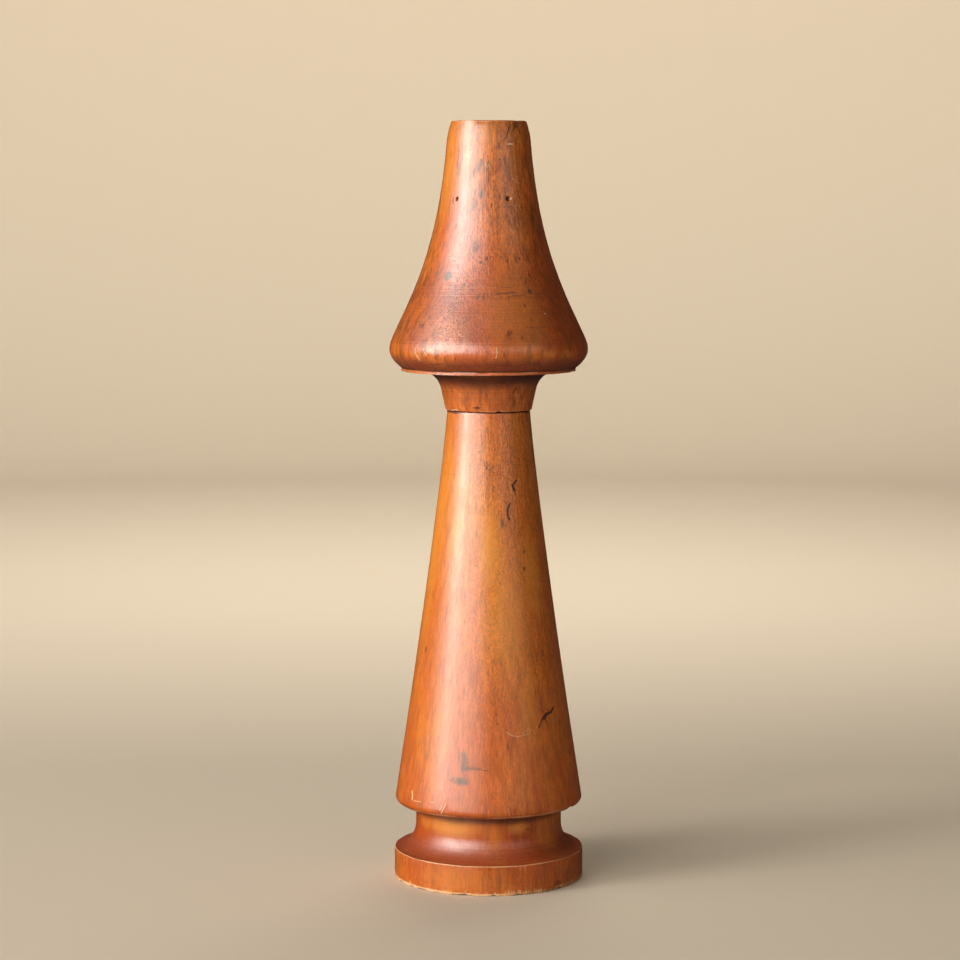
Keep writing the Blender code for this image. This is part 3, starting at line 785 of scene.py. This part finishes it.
def capStretches():
    edge, flare, coveRadius = cap["collarEdge"], cap["collarFlare"], cap["collarCove"]
    lean, bellSlope = math.radians(flare), math.tan(math.radians(cap["bellLean"]))
    coveHeight = lipUnder - coveRadius
    meet = coveHeight + coveRadius * math.sin(lean)
    meetRadius = cap["seatRadius"] + (meet - cap["seat"]) * math.tan(lean)
    collarArris = roundStretch((cap["seatRadius"] - edge, cap["seat"] + edge), edge, edge, -90, -flare)
    collarCove = roundStretch((meetRadius + coveRadius * math.cos(lean), coveHeight),
                              coveRadius, coveRadius, 180 - flare, 90, sampling["cove"])
    band = cap["lipRadius"] - cap["bandSetback"]
    bandTop = lipUnder + cap["bandHeight"]
    widest = lipUnder + cap["lipRise"]
    # lip below its widest: the radius less by the square of how far down it is
    below = np.linspace(1, 0, sampling["straight"])
    reach = cap["bandSetback"] - cap["bandQuirk"]
    lipLower = np.stack([cap["lipRadius"] - reach * below**2, widest - (widest - bandTop) * below], 1)
    curve = cap["lipUpperRound"]
    lipUpper = roundStretch((cap["lipRadius"] - curve, widest), curve, curve, 0, cap["bellLean"])
    rise = cap["bellStraight"]
    straightEnd = (lipUpper[-1][0] - rise * bellSlope, lipUpper[-1][1] + rise)
    neck = (cap["neckRadius"], capTop - cap["shoulder"])
    topEdge = cap["topEdge"]
    topArris = roundStretch((cap["topRadius"] - topEdge, capTop - topEdge), topEdge, topEdge, 0, 90)
    return {
        "seatFace": hollowStretch((0, cap["seat"]), collarArris[0]),
        "collarArris": collarArris,
        "collar": hollowStretch(collarArris[-1], collarCove[0]),
        "collarCove": collarCove,
        "lipUnderside": hollowStretch(collarCove[-1], (band, lipUnder)),
        "bandFace": hollowStretch((band, lipUnder), (band, bandTop)),
        "lipLower": lipLower,
        "lipUpper": lipUpper,
        "bellStraight": hollowStretch(lipUpper[-1], straightEnd),
        "bell": sweptStretch(straightEnd, neck, cap["bellLean"], cap["neckLean"], sampling["bell"]),
        "shoulder": sweptStretch(neck, topArris[0], cap["neckLean"], cap["shoulderLean"]),
        "topArris": topArris,
        "topFace": hollowStretch(topArris[-1], (0, capTop)),
    }


capPiece, capGuide = turnedPiece("cap_turning", capStretches(), cap)
capPiece.data.materials.append(varnishedWood("red_varnished_cap", cap, capGuide))

for piece, node in ((stemPiece, "stem"), (capPiece, "cap")):
    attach(piece, "root")
    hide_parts(node)
    node + "_wood"

# Stage: a pale floor, a plain wall behind it, a plain surround for the other views, and the faint
# light of the air. Metres and degrees.
room = {"radius": 3.2, "bend": 0.8, "height": 2.6, "middle": 0.0001, "wallTurn": 18, "fade": 12,
        "surroundRadius": 3.9, "surroundBend": 0.5, "surroundGlow": 0.42, "columns": 120, "bendRows": 24,
        "colour": paint(212, 197, 174), "roughness": 0.9, "air": (1.0, 0.95, 0.88, 1), "airStrength": 0.02}


# An outline of radius and height turned about the axis. Heights are scaled by a smooth step of the
# turn from the far side: 1 within reach degrees of it, 0 from fade degrees further on.
def stagePiece(name, outline, reach, glow):
    turn = np.linspace(-math.pi, math.pi, room["columns"], endpoint=False)
    share = eased((reach + room["fade"] - np.abs(np.degrees(turn))) / room["fade"])
    radius, height = outline[:, :1], outline[:, 1:]
    verts = np.stack([radius * -np.sin(turn), radius * np.cos(turn), height * share], -1)
    faces = ringFaces(len(outline), room["columns"])[2][:, ::-1]
    mesh = bpy.data.meshes.new(name)
    mesh.from_pydata(verts.reshape(-1, 3).tolist(), [], faces.tolist())
    mesh.shade_smooth()
    piece = placed(name, mesh)
    plain = Finish("pale_" + name)
    plain.surface({"Base Color": room["colour"], "Roughness": room["roughness"],
                   "Emission Color": room["colour"], "Emission Strength": glow})
    mesh.materials.append(plain.material)
    return piece


# An outline that runs level from a radius, curls up by its bend and rises to the room's height
def curled(start, radius, bend):
    curl = roundStretch((radius - bend, bend), bend, bend, 270, 360, room["bendRows"])
    return np.concatenate([[[start, 0.0]], curl, [[radius, room["height"]]]])


level = room["radius"] - room["bend"]
studioFloor = stagePiece("studio_floor", np.array([[room["middle"], 0.0], [level, 0.0]]), 180, 0)
studioWall = stagePiece("studio_wall", curled(level, room["radius"], room["bend"]), room["wallTurn"], 0)
surroundLine = curled(room["radius"], room["surroundRadius"], room["surroundBend"])
surround = stagePiece("studio_surround", surroundLine, 180, room["surroundGlow"])
# the varnish mirrors the lamps alone, so the pale stage puts no haze on its rims and undersides
for piece in (studioFloor, studioWall, surround):
    piece.visible_glossy = False
surround.visible_diffuse = False

# Camera: level with the bell, looking down on the foot. Metres, degrees, and mm of lens and sensor.
camera = {"distance": 1.671, "eye": 0.415, "aside": -0.0052, "down": 5.910, "lens": 104.37, "sensor": 36,
          "nearest": 0.05}
cameraData = bpy.data.cameras.new("camera")
cameraData.lens = camera["lens"]
cameraData.sensor_width = camera["sensor"]
cameraData.clip_start = camera["nearest"]
cameraObject = placed("camera", cameraData)
cameraObject.location = (camera["aside"], -camera["distance"], camera["eye"])
cameraObject.rotation_euler = (math.radians(90 - camera["down"]), 0, 0)
scene.camera = cameraObject

# Lights: from the target point an azimuth (0 is the camera's side, negative is left), an elevation
# and a distance, then the width and height of the light, its power in watts and its colour. The back
# lamp puts no gloss on the varnish, and the wall lamp is for the wall.
aim, behind = Vector((0, 0, 0.23)), Vector((0, 3.2, 0.6))
lights = [
    ("key", aim, -63, 20, 3.1, 1.0, 2.2, 54, (1.0, 0.98, 0.95)),
    ("keyWide", aim, -62, 20, 3.14, 3.76, 2.2, 64, (1.0, 0.97, 0.93)),
    ("front", aim, -28, 20, 3.1, 2.0, 2.0, 38, (1.0, 0.97, 0.93)),
    ("right", aim, 38, 18, 3.1, 2.66, 1.33, 7.4, (1.0, 0.95, 0.9)),
    ("back", aim, 168, 50, 1.5, 1.0, 0.6, 7, (1.0, 0.97, 0.93)),
    ("wall", behind, 0, 21.4, 2.47, 1.6, 0.5, 34, (1.0, 0.96, 0.9)),
]
for name, target, azimuth, elevation, distance, width, tall, power, colour in lights:
    data = bpy.data.lights.new(name, "AREA")
    data.shape = "RECTANGLE"
    data.size = width
    data.size_y = tall
    data.energy = power
    data.color = colour
    lamp = placed(name, data)
    a, e = math.radians(azimuth), math.radians(elevation)
    away = Vector((math.sin(a) * math.cos(e), -math.cos(a) * math.cos(e), math.sin(e)))
    lamp.location = target + away * distance
    lamp.rotation_mode = "QUATERNION"
    lamp.rotation_quaternion = away.to_track_quat("Z", "Y")
    lamp.visible_camera = False
    lamp.visible_glossy = name != "back"
world = bpy.data.worlds.new("room")
scene.world = world
world.use_nodes = True
air = world.node_tree.nodes["Background"].inputs
air["Color"].default_value = room["air"]
air["Strength"].default_value = room["airStrength"]
scene.view_settings.view_transform = "Standard"
print("floor, camera and lights placed")
